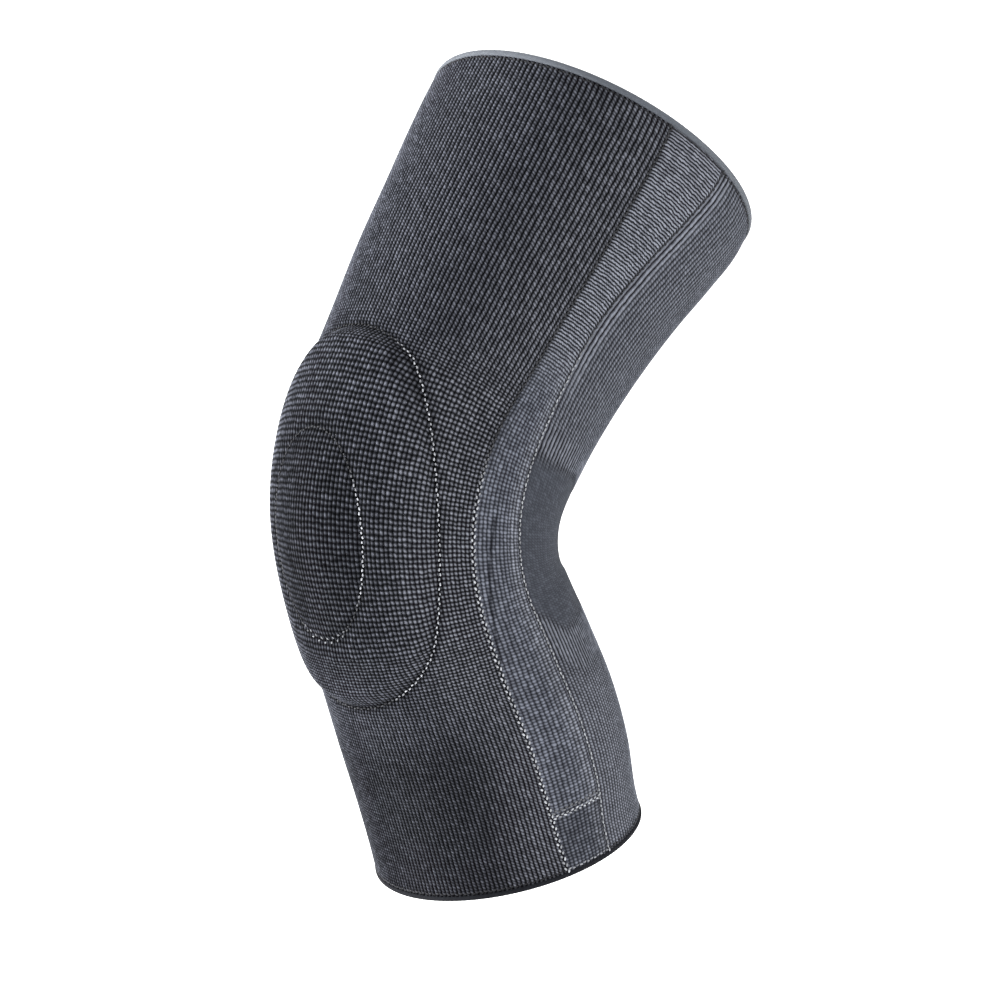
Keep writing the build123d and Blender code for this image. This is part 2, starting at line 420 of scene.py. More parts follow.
def attribute(tree, name):
    return addNode(tree, "ShaderNodeAttribute", attribute_name=name).outputs["Fac"]


def stitchPlace(tree):
    return addNode(tree, "ShaderNodeUVMap", uv_map="stitches")


def objectTexture(tree, kind, inputs, **settings):
    place = addNode(tree, "ShaderNodeTexCoord").outputs["Object"]
    return addNode(tree, kind, {"Vector": place, **inputs}, **settings)


def finishMaterial(tree, shader, colour, height, bump):
    relief = addNode(tree, "ShaderNodeBump", {"Strength": 0.9, "Distance": bump, "Height": height})
    tree.links.new(colour, shader.inputs["Base Color"])
    tree.links.new(relief.outputs[0], shader.inputs["Normal"])


def newMaterial(name, roughness, sheen=0.0, specular=0.3, metallic=0.0):
    material = bpy.data.materials.new(name)
    material.use_nodes = True
    shader = material.node_tree.nodes["Principled BSDF"]
    looks = {"Roughness": roughness, "Sheen Weight": sheen, "Sheen Roughness": 0.4,
             "Specular IOR Level": specular, "Metallic": metallic}
    for key, value in looks.items():
        shader.inputs[key].default_value = value
    return material, material.node_tree, shader


yarnLook = dict(courseWaver=1.6, ribFall=1.5, glintPower=7.0, waverNoise={"Scale": 320.0, "Detail": 2.0},
                cloudNoise={"Scale": 42.0, "Detail": 3.0})


def knitMaterial(name, grooveShade, yarn, pale, slant=0.55, ribPower=1.7, bump=0.0006, sheen=0.04, mottle=0.10,
                 toneSpread=0.55, fleck=0.45, unevenness=0.45, straighten=0.0, straightFrom=0.58):
    # rows of slanted stitches: one unit across is one rib, one unit along is one course,
    # and the piece's own values say how deep both are
    material, tree, shader = newMaterial(name, roughness=1.0, sheen=sheen, specular=0.01)
    calc = calculator(tree)
    split = addNode(tree, "ShaderNodeSeparateXYZ", {0: stitchPlace(tree)}).outputs
    noise = objectTexture(tree, "ShaderNodeTexNoise", yarnLook["waverNoise"])
    pull = addNode(tree, "ShaderNodeSeparateXYZ", {0: noise.outputs["Color"]}).outputs
    u = calc("MULTIPLY_ADD", calc("SUBTRACT", pull[0], 0.5), unevenness, split[0])
    waver = unevenness * yarnLook["courseWaver"]
    v = calc("MULTIPLY_ADD", calc("SUBTRACT", pull[1], 0.5), waver, split[1])
    side = calc("MULTIPLY_ADD", calc("FRACT", u), 2.0, -1.0)
    fall = calc("POWER", calc("ABSOLUTE", side), yarnLook["ribFall"])
    ribShape = calc("SUBTRACT", 1.0, calc("MULTIPLY", fall, attribute(tree, "ribWeight")))
    # where the courses open, the stitches stand upright
    courseWeight = attribute(tree, "courseWeight")
    lean = calc("MULTIPLY_ADD", courseWeight, -straighten, slant + straighten * straightFrom)
    lean = calc("MAXIMUM", calc("MINIMUM", lean, slant), 0.0)
    course = calc("MULTIPLY_ADD", side, calc("MULTIPLY", lean, 0.5), v)
    cosine = calc("COSINE", calc("MULTIPLY", course, 2 * math.pi))
    gap = calc("MULTIPLY", calc("MULTIPLY_ADD", cosine, -0.5, 0.5), courseWeight)
    height = calc("MULTIPLY", ribShape, calc("SUBTRACT", 1.0, gap))
    nearest = calc("FLOOR", calc("ADD", course, 0.5))
    cell = addNode(tree, "ShaderNodeCombineXYZ", {0: calc("FLOOR", u), 1: nearest})
    chance = addNode(tree, "ShaderNodeTexWhiteNoise", {"Vector": cell}, noise_dimensions="2D")
    tone = calc("MULTIPLY_ADD", chance, toneSpread, 1.0 - toneSpread / 2)
    glint = calc("MULTIPLY", calc("POWER", chance, yarnLook["glintPower"]), fleck)
    cloudy = objectTexture(tree, "ShaderNodeTexNoise", yarnLook["cloudNoise"])
    patch = calc("MULTIPLY_ADD", cloudy, mottle * 2, 1.0 - mottle)
    # painted shade: the grooves between ribs and courses blend towards the near-black groove shade colour
    lit = calc("POWER", height, ribPower)
    shade = calc("MULTIPLY", calc("MULTIPLY", lit, calc("ADD", tone, glint)), patch)
    # the piece's own shading value paints more shade on top
    shade = calc("MULTIPLY", shade, attribute(tree, "shading"))
    thread = blendColours(tree, attribute(tree, "paleness"), yarn, pale)
    finishMaterial(tree, shader, blendColours(tree, shade, grooveShade, thread), height, bump)
    return material


def bandMaterial(name, dark, light, sheen, specular, pitch=6.0):
    material, tree, shader = newMaterial(name, roughness=0.8, sheen=sheen, specular=specular)
    calc = calculator(tree)
    across = {"Scale": pitch, "Distortion": 0.6, "Vector": stitchPlace(tree)}
    weave = addNode(tree, "ShaderNodeTexWave", across, bands_direction="X")
    grain = objectTexture(tree, "ShaderNodeTexNoise", {"Scale": 900.0})
    threads = calc("MULTIPLY_ADD", weave.outputs["Fac"], 0.45, 0.55)
    height = calc("MULTIPLY", threads, calc("MULTIPLY_ADD", grain, 0.8, 0.6))
    finishMaterial(tree, shader, blendColours(tree, height, dark, light), height, 0.0002)
    return material


def threadMaterial(name, dark, light):
    material, tree, shader = newMaterial(name, roughness=0.7, sheen=0.05, specular=0.15)
    calc = calculator(tree)
    wave = objectTexture(tree, "ShaderNodeTexWave", {"Scale": 900.0}, bands_direction="DIAGONAL")
    twist = wave.outputs["Fac"]
    tone = calc("MULTIPLY", attribute(tree, "tone"), calc("MULTIPLY_ADD", twist, 0.3, 0.8))
    finishMaterial(tree, shader, blendColours(tree, tone, dark, light), twist, 0.0001)
    return material


def softMaterial(name, colour, roughness, grainScale, metallic=0.0):
    material, tree, shader = newMaterial(name, roughness=roughness, specular=0.4, metallic=metallic)
    grain = objectTexture(tree, "ShaderNodeTexNoise", {"Scale": grainScale, "Detail": 4.0})
    darker = tuple(value * 0.75 for value in colour)
    finishMaterial(tree, shader, blendColours(tree, grain, darker, colour), grain, 0.0001)
    return material


# the first colour of each knit is its groove shade, a near-black painted shade for the grooves between
# stitches
mainKnit = knitMaterial("mainKnit", (0.0005, 0.0005, 0.0007), (0.104, 0.110, 0.134), (0.270, 0.280, 0.320),
                        slant=0.8, straighten=3.5)
channelKnit = knitMaterial("channelKnit", (0.002, 0.002, 0.003), (0.135, 0.146, 0.180),
                           (0.330, 0.345, 0.390), bump=0.0004, slant=0.15)
fineKnit = knitMaterial("fineKnit", (0.003, 0.003, 0.004), (0.078, 0.085, 0.104), (0.230, 0.243, 0.285),
                        toneSpread=0.3, fleck=0.15, bump=0.0004, slant=0.5)
liningKnit = knitMaterial("liningKnit", (0.006, 0.006, 0.008), (0.045, 0.048, 0.058), (0.06, 0.06, 0.07),
                          toneSpread=0.3, bump=0.0002)
thighBandKnit = bandMaterial("thighBandKnit", (0.030, 0.033, 0.040), (0.115, 0.128, 0.150),
                             sheen=0.15, specular=0.15)
calfBandKnit = bandMaterial("calfBandKnit", (0.002, 0.002, 0.003), (0.016, 0.017, 0.021),
                            sheen=0.02, specular=0.03)
seamThread = threadMaterial("seamThread", (0.004, 0.004, 0.006), (0.50, 0.515, 0.55))
padSilicone = softMaterial("padSilicone", (0.16, 0.18, 0.22), 0.45, 120.0)
staySteel = softMaterial("staySteel", (0.62, 0.62, 0.63), 0.3, 400.0, metallic=1.0)
tipPlastic = softMaterial("tipPlastic", (0.72, 0.72, 0.70), 0.5, 300.0)
print("materials made")

# Main knit.

knit = dict(
    thickness=0.0022, rib=0.00050, ribWidth=0.0026, course=0.0015, seamGap=0.00004, tuck=0.00035,
    edgeTop=0.0034, edgeBottom=0.0024, cover=0.0010, frontRibs=80, backRibs=84, channelRibs=12, liningRibs=14,
    backShare=0.7, channelShare=0.6, kneeRadius=0.06, plainWeights=(0.6, 0.5, 0.0),
)
knitLow = tube["bottom"] + knit["edgeBottom"]
knitHigh = tube["top"] - knit["edgeTop"]


def seamAngle(width):
    # a width round the tube, in degrees
    return lambda distance: np.degrees(width / smoothColumn(1, distance))


def level(rise):
    # the same rise everywhere on the tube
    return lambda *place: rise


def frontInside(distance, angle):
    # under the pad the outer knit is only a cover, so its inner face lifts with it
    lifted = padRise(distance, angle) - knit["cover"]
    share = 1 - smoothStep(0.90, 0.97, ovalShare("outer", distance, angle))
    return -knit["thickness"] + (lifted + knit["thickness"]) * share


def stretch(distance, low, rising, high, falling):
    # 1 between two places along the tube, easing in and out over offsets from them
    return (smoothStep(low + rising[0], low + rising[1], distance)
            * smoothStep(high + falling[0], high + falling[1], distance))


# Where each panel's ribs and courses are deep, where its yarn is pale, and where painted shade darkens it.

frontLook = dict(
    opening=(-0.085, -0.050), closing=(0.065, 0.035), ribLoss=0.12, courses=0.58, courseGain=0.20,
    pale=0.36, paleGain=0.08, paleFrom=32.0, paleTo=72.0, paleShift=14.0, grooveDark=0.75,
    calfFrom=(-0.070, -0.100), calfAngle=(66.0, 40.0), calfDark=0.48,
    kneecapReach=(0.70, 1.95), kneecapDark=0.50,
)


def frontWeights(distance, angle):
    # over the knee the knit is stretched along the leg, so its courses open into a grid
    look = frontLook
    opened = stretch(distance, 0.0, look["opening"], 0.0, look["closing"])
    shift = look["paleShift"] * opened
    aside = smoothStep(look["paleFrom"] - shift, look["paleTo"] - shift, np.abs(angle))
    pale = (look["pale"] + look["paleGain"] * opened) * aside
    return 1.0 - look["ribLoss"] * opened, look["courses"] + look["courseGain"] * opened, pale


def frontShade(distance, angle):
    # painted shade: darker in the sewn grooves, over the kneecap and down the front of the calf
    look = frontLook
    grooveShade = seamGroove(distance, angle) / pad["seamDepth"]
    calf = smoothStep(*look["calfFrom"], distance) * smoothStep(*look["calfAngle"], np.abs(angle))
    kneecap = 1 - smoothStep(*look["kneecapReach"], ovalShare("window", distance, angle))
    shade = (1 - look["grooveDark"] * grooveShade) * (1 - look["calfDark"] * calf)
    return shade * (1 - look["kneecapDark"] * kneecap)


# weights: ribs, courses and paleness, each on the plain knit and then what the knit behind the knee
# and the two bands add
backLook = dict(
    upper=0.047, upperRise=0.008, upperRound=(94.0, 135.0), lower=-0.054, lowerDrop=0.014,
    lowerRound=(94.0, 112.0), upperBand=((-0.016, -0.010), (0.001, -0.003)),
    lowerBand=((-0.012, -0.006), (0.012, 0.008)), smooth=((0.008, 0.016), (-0.012, -0.020)),
    weights=((0.80, -0.65, 0.60), (0.45, -0.25, -0.42), (0.45, -0.45, 0.10)),
    shaded=((0.0, 0.012), (-0.004, -0.014)), bandDark=0.12, behindDark=0.40,
    calfPale=0.2, calfFrom=(-0.07, -0.09), seamReach=(8.0, 4.0), seamFrom=(0.050, 0.080), seamCourseLoss=0.8,
    seamPale=0.25,
)


def backBands(distance, angle):
    # the two bands of strong ribs, above and below the smooth knit behind the knee
    look = backLook
    around = np.minimum(angle, 360.0 - angle)
    upper = look["upper"] + look["upperRise"] * smoothStep(*look["upperRound"], around)
    lower = look["lower"] - look["lowerDrop"] * smoothStep(*look["lowerRound"], around)
    (upperIn, upperOut), (lowerIn, lowerOut) = look["upperBand"], look["lowerBand"]
    bands = np.maximum(stretch(distance, upper, upperIn, upper, upperOut),
                       stretch(distance, lower, lowerIn, lower, lowerOut))
    return around, upper, lower, bands


def backShade(distance, angle):
    # painted shade: darker behind the bent knee, and a little darker on the two rib bands
    upper, lower, bands = backBands(distance, angle)[1:]
    rising, falling = backLook["shaded"]
    behindKnee = stretch(distance, lower, rising, upper, falling)
    return 1 - backLook["bandDark"] * bands - backLook["behindDark"] * behindKnee * (1 - bands)


def backWeights(distance, angle):
    # fine and smooth behind the knee, between two bands of strong ribs
    look = backLook
    around, upper, lower, bands = backBands(distance, angle)
    rising, falling = look["smooth"]
    behindKnee = stretch(distance, lower, rising, upper, falling)
    ribs, courses, pale = (
        plain + behind * behindKnee + onBand * bands for plain, behind, onBand in look["weights"])
    pale = np.clip(pale + look["calfPale"] * smoothStep(*look["calfFrom"], distance), 0, 1)
    back = channelEdges(distance)[1]
    far, near = look["seamReach"]
    nearSeam = smoothStep(back + far, back + near, around) * smoothStep(*look["seamFrom"], distance)
    ribs = np.maximum(np.clip(ribs, 0, 1), nearSeam)
    courses = np.clip(courses, 0, 1) * (1 - look["seamCourseLoss"] * nearSeam)
    return ribs, courses, np.clip(pale + look["seamPale"] * nearSeam, 0, 1)


channelLook = dict(
    lineFrom=(-0.066, -0.056), lineTo=(0.010, 0.0), lineShare=0.41, lineSlope=6.2, lineMiddle=0.004,
    lineWidth=0.030, lineDark=0.7, endPatch=(-0.128, -0.131), endDark=0.35, upperFrom=(0.045, 0.085),
    ribs=(0.70, -0.62), courses=(0.50, 0.42), pale=(0.05, 0.36),
    stripShare=0.84, stripWidth=0.13, stripPale=0.30,
)


def channelShare(distance, angle):
    # 0 at the front seam, 1 at the back seam
    front, back = channelEdges(distance)
    return (np.abs(signedAngle(angle)) - front) / (back - front)


def channelShade(distance, angle):
    # painted shade of a fine sunken line in the front third beside the knee, and a darker end patch below the
    # tack
    look = channelLook
    lineShare = look["lineShare"] + look["lineSlope"] * (distance - look["lineMiddle"])
    offLine = channelShare(distance, angle) - lineShare
    besideKnee = smoothStep(*look["lineFrom"], distance) * smoothStep(*look["lineTo"], distance)
    line = np.exp(-((offLine / look["lineWidth"]) ** 2)) * besideKnee
    return (1 - look["lineDark"] * line) * (1 - look["endDark"] * smoothStep(*look["endPatch"], distance))


def channelWeights(distance, angle):
    # cross-wise lines near the thigh edge, finer ribs lower down and a paler strip by the back seam
    look = channelLook
    upper = smoothStep(*look["upperFrom"], distance)
    offStrip = (channelShare(distance, angle) - look["stripShare"]) / look["stripWidth"]
    backStrip = np.exp(-(offStrip ** 2)) * (1 - upper)
    ribs, courses, pale = (low + gain * upper for low, gain in (look["ribs"], look["courses"], look["pale"]))
    return ribs, courses, np.clip(pale + look["stripPale"] * backStrip, 0, 1)


def frontSurface(distance, angle, fromEdge):
    return padRise(distance, angle) - seamGroove(distance, angle)


channel = dict(
    rise=0.0010, underside=-0.0002, base=0.0001, edgeRound=0.0020, endRound=0.004, edgeDip=0.0002,
    stayLift=0.0005, stayWidth=0.0090, stayEdge=(0.35, 0.62), stayFoot=(-0.126, -0.118),
    stayHead=(0.174, 0.166),
    liningOver=3.0, liningTop=-0.0024, liningThickness=0.0010, liningEndTop=0.0136, liningEndBottom=0.0116,
)


def channelSurface(distance, angle, fromEdge):
    # the strip rounds down to its seams and lifts a little over the stay
    front, back = channelEdges(distance)
    aside = np.radians(np.abs(np.abs(signedAngle(angle)) - (front + back) / 2)) * smoothColumn(1, distance)
    overStay = 1 - smoothStep(*channel["stayEdge"], aside / channel["stayWidth"])
    held = smoothStep(*channel["stayFoot"], distance) * smoothStep(*channel["stayHead"], distance)
    endRound, base = channel["endRound"], channel["base"]
    edge = smoothStep(0.0, channel["edgeRound"], fromEdge)
    edge = edge * smoothStep(knitHigh, knitHigh - endRound, distance)
    edge = edge * smoothStep(knitLow, knitLow + endRound, distance)
    return base + (channel["rise"] - base) * edge + channel["stayLift"] * overStay * held


def acrossKnee(piece):
    faceOut(piece)
    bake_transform(piece)


def onBody(piece, body):
    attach(piece, body)


# the main knit's sunken edges reach a little under the channel strips
tuckAngle = seamAngle(knit["tuck"])
frontKnit = knitPanel(
    "front_knit", mainKnit,
    lambda d: -channelEdges(d)[0] - tuckAngle(d), lambda d: channelEdges(d)[0] + tuckAngle(d),
    knitLow, knitHigh, knit["frontRibs"], knit["rib"], frontSurface, frontInside, frontWeights,
    paintedShade=frontShade)
acrossKnee(frontKnit)
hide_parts("front_knit_thigh", "front_knit_shin", "pad_pocket_cover", "kneecap_knit")

backKnit = knitPanel(
    "back_knit", fineKnit,
    lambda d: channelEdges(d)[1] - tuckAngle(d), lambda d: 360 - channelEdges(d)[1] + tuckAngle(d),
    knitLow, knitHigh, knit["backRibs"], knit["rib"] * knit["backShare"], level(0.0),
    level(-knit["thickness"]), backWeights, paintedShade=backShade)
acrossKnee(backKnit)
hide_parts("back_knit_thigh", "popliteal_knit", "back_knit_shin")
print("front and back knit made")

# Side channels and their linings.

def sideAngles(mark, inset):
    # the two edges of a strip, so that it always runs the same way round
    if mark > 0:
        return lambda d: channelEdges(d)[0] + inset(d), lambda d: channelEdges(d)[1] - inset(d)
    return lambda d: -channelEdges(d)[1] + inset(d), lambda d: -channelEdges(d)[0] - inset(d)


sides = dict(lateral=1, medial=-1)
liningLow = tube["bottom"] + channel["liningEndBottom"]
liningHigh = tube["top"] - channel["liningEndTop"]
for sideName, mark in sides.items():
    strip = knitPanel(
        sideName + "_channel", channelKnit, *sideAngles(mark, seamAngle(knit["seamGap"])), knitLow, knitHigh,
        knit["channelRibs"], knit["rib"] * knit["channelShare"], channelSurface, level(channel["underside"]),
        channelWeights, edgeDip=channel["edgeDip"], paintedShade=channelShade)
    acrossKnee(strip)
    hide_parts(*[sideName + "_channel_face_" + zone for zone in ("thigh", "knee", "shin")])
    lining = knitPanel(
        sideName + "_lining", liningKnit, *sideAngles(mark, level(-channel["liningOver"])),
        liningLow, liningHigh, knit["liningRibs"], 0.0, level(channel["liningTop"]),
        level(channel["liningTop"] - channel["liningThickness"]), level(knit["plainWeights"]),
        perWale=2, edgeDip=0.0)
    acrossKnee(lining)
    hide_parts(*[sideName + "_channel_lining_" + zone for zone in ("thigh", "knee", "shin")])
print("channels and linings made")

# The pad, its backing and the kneecap window.

padBody = dict(outside=0.875, insideWindow=1.10, base=0.0003, gap=0.0003, turns=144, profileSteps=8)


def makeRingPad():
    # a ring with a flat base and a crowned, rounded top that fills the space under the knit
    turnAngles = np.linspace(0.0, 2 * math.pi, padBody["turns"], endpoint=False)[:, None]
    inside = np.array(onOval("window", padBody["insideWindow"], turnAngles))
    outside = np.array(onOval("outer", padBody["outside"], turnAngles))
    steps = padBody["profileSteps"]
    shares = np.concatenate([np.linspace(0, 1, steps + 1), np.linspace(1, 0, steps + 1)[1:-1]])[None, :]
    onTop = np.concatenate([np.ones(steps + 1), np.zeros(steps - 1)])[None, :]
    distance, angle = inside + (outside - inside) * shares
    crown = np.sqrt(np.clip(1 - (2 * shares - 1) ** 6, 0, 1))
    under = padRise(distance, angle) - knit["cover"] - padBody["gap"]
    rise = padBody["base"] + (under - padBody["base"]) * crown * onTop
    points = onTube(distance, angle, rise)
    return newPiece("ring_pad", points.reshape(-1, 3), wrapFaces(*points.shape[:2]), padSilicone)


ringPad = makeRingPad()
acrossKnee(ringPad)
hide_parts("kneecap_ring_pad")

backing = padPatch(
    "pad_backing", liningKnit,
    lambda d, a: np.minimum(-0.0001, frontInside(d, a) - 0.0002), level(-knit["thickness"]),
    reach=0.955)
acrossKnee(backing)
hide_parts("front_knit_knee")
print("pad and backing made")

# The folded edges: a rounded rim over the knit's end, then a thin leaf turned inside.

edges = dict(rimRise=0.00055, leafGap=0.0005, leaf=0.0008, thighLeaf=0.0120, calfLeaf=0.0100, turns=360,
             ripple=0.00006, ripples=180, course=0.0012)


def rimProfile(height, leafLength, inward):
    # (distance from the edge, rise) points all the way round the fold
    knitInside = -knit["thickness"]
    leafOuter = knitInside - edges["leafGap"]
    leafInner = leafOuter - edges["leaf"]
    top = edges["rimRise"]
    shape = [
        (height, -0.0002), (height * 0.97, top * 0.55), (height * 0.86, top * 0.95),
        (height * 0.60, top * 1.1), (height * 0.34, top), (height * 0.14, top * 0.35),
        (height * 0.03, -0.0006), (0.0, -0.0014),
        (height * 0.03, -0.0023), (height * 0.14, leafInner * 0.86), (height * 0.34, leafInner * 0.97),
        (height * 0.60, leafInner), (height * 1.6, leafInner), (leafLength * 0.5, leafInner),
        (leafLength - 0.0003, leafInner), (leafLength, (leafInner + leafOuter) / 2),
        (leafLength - 0.0003, leafOuter), (leafLength * 0.5, leafOuter), (height * 1.2, leafOuter),
        (height, leafOuter + 0.0002), (height, -0.0014),
    ]
    return [(inward * away, rise) for away, rise in shape]


def makeEdgeBand(name, material, plane, height, leafLength, inward):
    turnAngles = np.linspace(0.0, 360.0, edges["turns"], endpoint=False)[:, None]
    away, rise = np.array(rimProfile(height, leafLength, inward)).T[:, None, :]
    puff = edges["ripple"] * np.cos(np.radians(turnAngles) * edges["ripples"]) * (rise > 0)
    points = onTube(plane + away, turnAngles, rise + puff)
    lengths = np.concatenate([[0.0], np.cumsum(np.hypot(np.diff(away[0]), np.diff(rise[0])))])
    uv = np.broadcast_arrays(turnAngles / 360.0 * edges["ripples"], lengths[None, :] / edges["course"])
    uv = np.stack(uv, axis=-1).reshape(-1, 2)
    band = newPiece(name, points.reshape(-1, 3), wrapFaces(*points.shape[:2]), material, uv)
    faceOut(band)
    return band


thighBand = makeEdgeBand("thigh_band", thighBandKnit, tube["top"], knit["edgeTop"], edges["thighLeaf"], -1)
onBody(thighBand, "thigh_section")
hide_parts("thigh_edge_band")
calfBand = makeEdgeBand("calf_band", calfBandKnit, tube["bottom"], knit["edgeBottom"], edges["calfLeaf"], 1)
onBody(calfBand, "shin_section")
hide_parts("calf_edge_band")
print("edge bands made")


# Geometry Nodes: small shapes repeated on the points of a row.

def startTree(name, numbers, material):
    # a tree that takes a row of points, some numbers and a material, all by name
    tree = bpy.data.node_groups.new(name, "GeometryNodeTree")
    tree.interface.new_socket(name="Geometry", in_out="OUTPUT", socket_type="NodeSocketGeometry")
    keys = {}
    kinds = {"Row": "Geometry", **dict.fromkeys(numbers, "Float"), material: "Material"}
    for key, kind in kinds.items():
        socket = tree.interface.new_socket(name=key, in_out="INPUT", socket_type="NodeSocket" + kind)
        if key in numbers:
            socket.default_value = numbers[key]
        keys[key] = socket.identifier
    return tree, keys, addNode(tree, "NodeGroupInput").outputs


def rowValue(tree, name, kind="FLOAT_VECTOR"):
    reader = addNode(tree, "GeometryNodeInputNamedAttribute", {"Name": name}, data_type=kind)
    return reader.outputs["Attribute"]


def vectorCalc(tree, operation, first, second):
    key = "Scale" if operation == "SCALE" else 1
    return addNode(tree, "ShaderNodeVectorMath", {0: first, key: second}, operation=operation)


def randomBetween(tree, low, high, seed):
    chance = addNode(tree, "FunctionNodeRandomValue", data_type="FLOAT")
    wanted = {"Min": low, "Max": high, "Seed": seed}
    for socket in chance.inputs:
        if socket.name == "Seed" or socket.enabled and socket.name in wanted:
            socket.default_value = wanted[socket.name]
    return [socket for socket in chance.outputs if socket.enabled][0]


def growAndFinish(tree, points, instance, turned, material, scale=None):
    # one instance on each point, then a plain painted mesh
    inputs = {"Points": points, "Instance": instance, "Rotation": turned}
    if scale is not None:
        inputs["Scale"] = scale
    spread = addNode(tree, "GeometryNodeInstanceOnPoints", inputs)
    whole = addNode(tree, "GeometryNodeRealizeInstances", {0: spread})
    smooth = addNode(tree, "GeometryNodeSetShadeSmooth", {0: whole})
    paint = addNode(tree, "GeometryNodeSetMaterial", {0: smooth, "Material": material})
    addNode(tree, "NodeGroupOutput", {0: paint})


def makeStitchTree():
    # one bead of thread on each point, to alternate sides where the row is a zigzag
    numbers = dict(stitchLength=stitch["length"], stitchWidth=stitch["width"], stitchHeight=stitch["height"])
    tree, keys, given = startTree("stitchRow", numbers, "thread")
    calc = calculator(tree)
    index = addNode(tree, "GeometryNodeInputIndex")
    swing = calc("MULTIPLY_ADD", calc("MODULO", index, 2.0), 2.0, -1.0)
    swing = calc("MULTIPLY", swing, rowValue(tree, "zigzag", "FLOAT"))
    aside = vectorCalc(tree, "SCALE", rowValue(tree, "side"), swing)
    slant = vectorCalc(tree, "SCALE", rowValue(tree, "side"), calc("MULTIPLY", swing, stitch["lean"]))
    heading = vectorCalc(tree, "ADD", rowValue(tree, "along"), slant)
    place = addNode(tree, "GeometryNodeSetPosition", {"Geometry": given["Row"], "Offset": aside})
    marked = addNode(tree, "GeometryNodeStoreNamedAttribute", {0: place, "Name": "tone"}, data_type="FLOAT")
    varied = calc("MULTIPLY", rowValue(tree, "tone", "FLOAT"), randomBetween(tree, *stitch["tones"], 7))
    tree.links.new(varied.outputs[0], [s for s in marked.inputs if s.enabled and s.name == "Value"][0])
    bead = addNode(tree, "GeometryNodeMeshIcoSphere", {"Radius": 0.5, "Subdivisions": 1})
    turned = addNode(tree, "FunctionNodeAxesToRotation", {0: heading, 1: rowValue(tree, "out")},
                     primary_axis="X", secondary_axis="Z")
    length = calc("MULTIPLY", given["stitchLength"], randomBetween(tree, *stitch["lengths"], 3))
    sizes = {0: length, 1: given["stitchWidth"], 2: given["stitchHeight"]}
    size = addNode(tree, "ShaderNodeCombineXYZ", sizes)
    growAndFinish(tree, marked, bead, turned, given["thread"], size)
    return tree, keys


def makeCoilTree():
    # flat oval links, one on each point, which read as a flattened spiral spring
    numbers = {key: stay[key] for key in ("width", "thickness", "wire")}
    tree, keys, given = startTree("flatSpiral", numbers, "steel")
    ring = addNode(tree, "GeometryNodeCurvePrimitiveCircle", {"Resolution": 20, "Radius": 0.5})
    calc = calculator(tree)
    across = calc("SUBTRACT", given["width"], given["wire"])
    through = calc("SUBTRACT", given["thickness"], given["wire"])
    scale = addNode(tree, "ShaderNodeCombineXYZ", {0: across, 1: through, 2: 1.0})
    shaped = addNode(tree, "GeometryNodeTransform", {0: ring, "Scale": scale})
    radius = calc("MULTIPLY", given["wire"], 0.5)
    section = addNode(tree, "GeometryNodeCurvePrimitiveCircle", {"Resolution": 5, "Radius": radius})
    wire = addNode(tree, "GeometryNodeCurveToMesh", {0: shaped, 1: section})
    axes = {0: rowValue(tree, "along"), 1: rowValue(tree, "out")}
    turned = addNode(tree, "FunctionNodeAxesToRotation", axes, primary_axis="Z", secondary_axis="Y")
    growAndFinish(tree, given["Row"], wire, turned, given["steel"])
    return tree, keys


def evenRow(distance, angle, rise, pitch, extra=None):
    # points at an even pitch along a path on the tube, with their directions
    distance, angle, rise = np.broadcast_arrays(distance, angle, rise)
    dense = onTube(distance, angle, rise)
    length = np.concatenate([[0.0], np.cumsum(np.linalg.norm(np.diff(dense, axis=0), axis=1))])
    wanted = np.linspace(0.0, length[-1], max(2, int(round(length[-1] / pitch)) + 1))
    distance, angle, rise = (np.interp(wanted, length, column) for column in (distance, angle, rise))
    extra = None if extra is None else np.interp(wanted, length, extra)
    points = onTube(distance, angle, rise)
    out = onTube(distance, angle, rise + 0.0005) - points
    out /= np.linalg.norm(out, axis=1)[:, None]
    along = np.gradient(points, axis=0)
    along /= np.linalg.norm(along, axis=1)[:, None]
    side = np.cross(out, along)
    return points, distance, dict(along=along, out=out, side=side), extra


def growOnRow(name, points, values, treeAndKeys, settings):
    # runs one of the trees on a row of points and keeps the result as a plain mesh
    tree, keys = treeAndKeys
    mesh = bpy.data.meshes.new(name)
    mesh.from_pydata(points.tolist(), [], [])
    storeValues(mesh, values)
    piece = addObject(name, mesh)
    grower = piece.modifiers.new("grower", "NODES")
    grower.node_group = tree
    for key, value in settings.items():
        grower[keys[key]] = value
    depsgraph = bpy.context.evaluated_depsgraph_get()
    grown = bpy.data.meshes.new_from_object(piece.evaluated_get(depsgraph), depsgraph=depsgraph)
    piece.modifiers.clear()
    piece.data = grown
    grown.name = name
    return piece


stitch = dict(length=0.0018, width=0.00085, height=0.0005, proud=0.00015, zigzag=0.0002,
              lean=700.0, tones=(0.55, 1.25), lengths=(0.85, 1.15))
stay = dict(low=-0.1215, high=0.1675, steps=300, pitch=0.0021, width=0.0088, thickness=0.0012, wire=0.00045,
            depth=-0.0012)
tack = dict(middle=-0.1293, width=0.0024, tones=(0.80, 0.25), inset=1.2, steps=60, proud=0.00005,
            zigzag=0.00045, pitch=0.0013, length=0.0016)
frontSeam = dict(rise=0.0002, riseMore=0.0004, zigzag=0.0003, zigzagMore=0.0003, pitch=0.0015, width=0.0010,
                 tone=0.06, toneMore=0.66, changes=(0.030, 0.005))
backSeam = dict(rise=0.0004, pitch=0.0019, tone=0.05, toneMore=0.60, changes=(0.100, 0.060))
stitchTree = makeStitchTree()
coilTree = makeCoilTree()


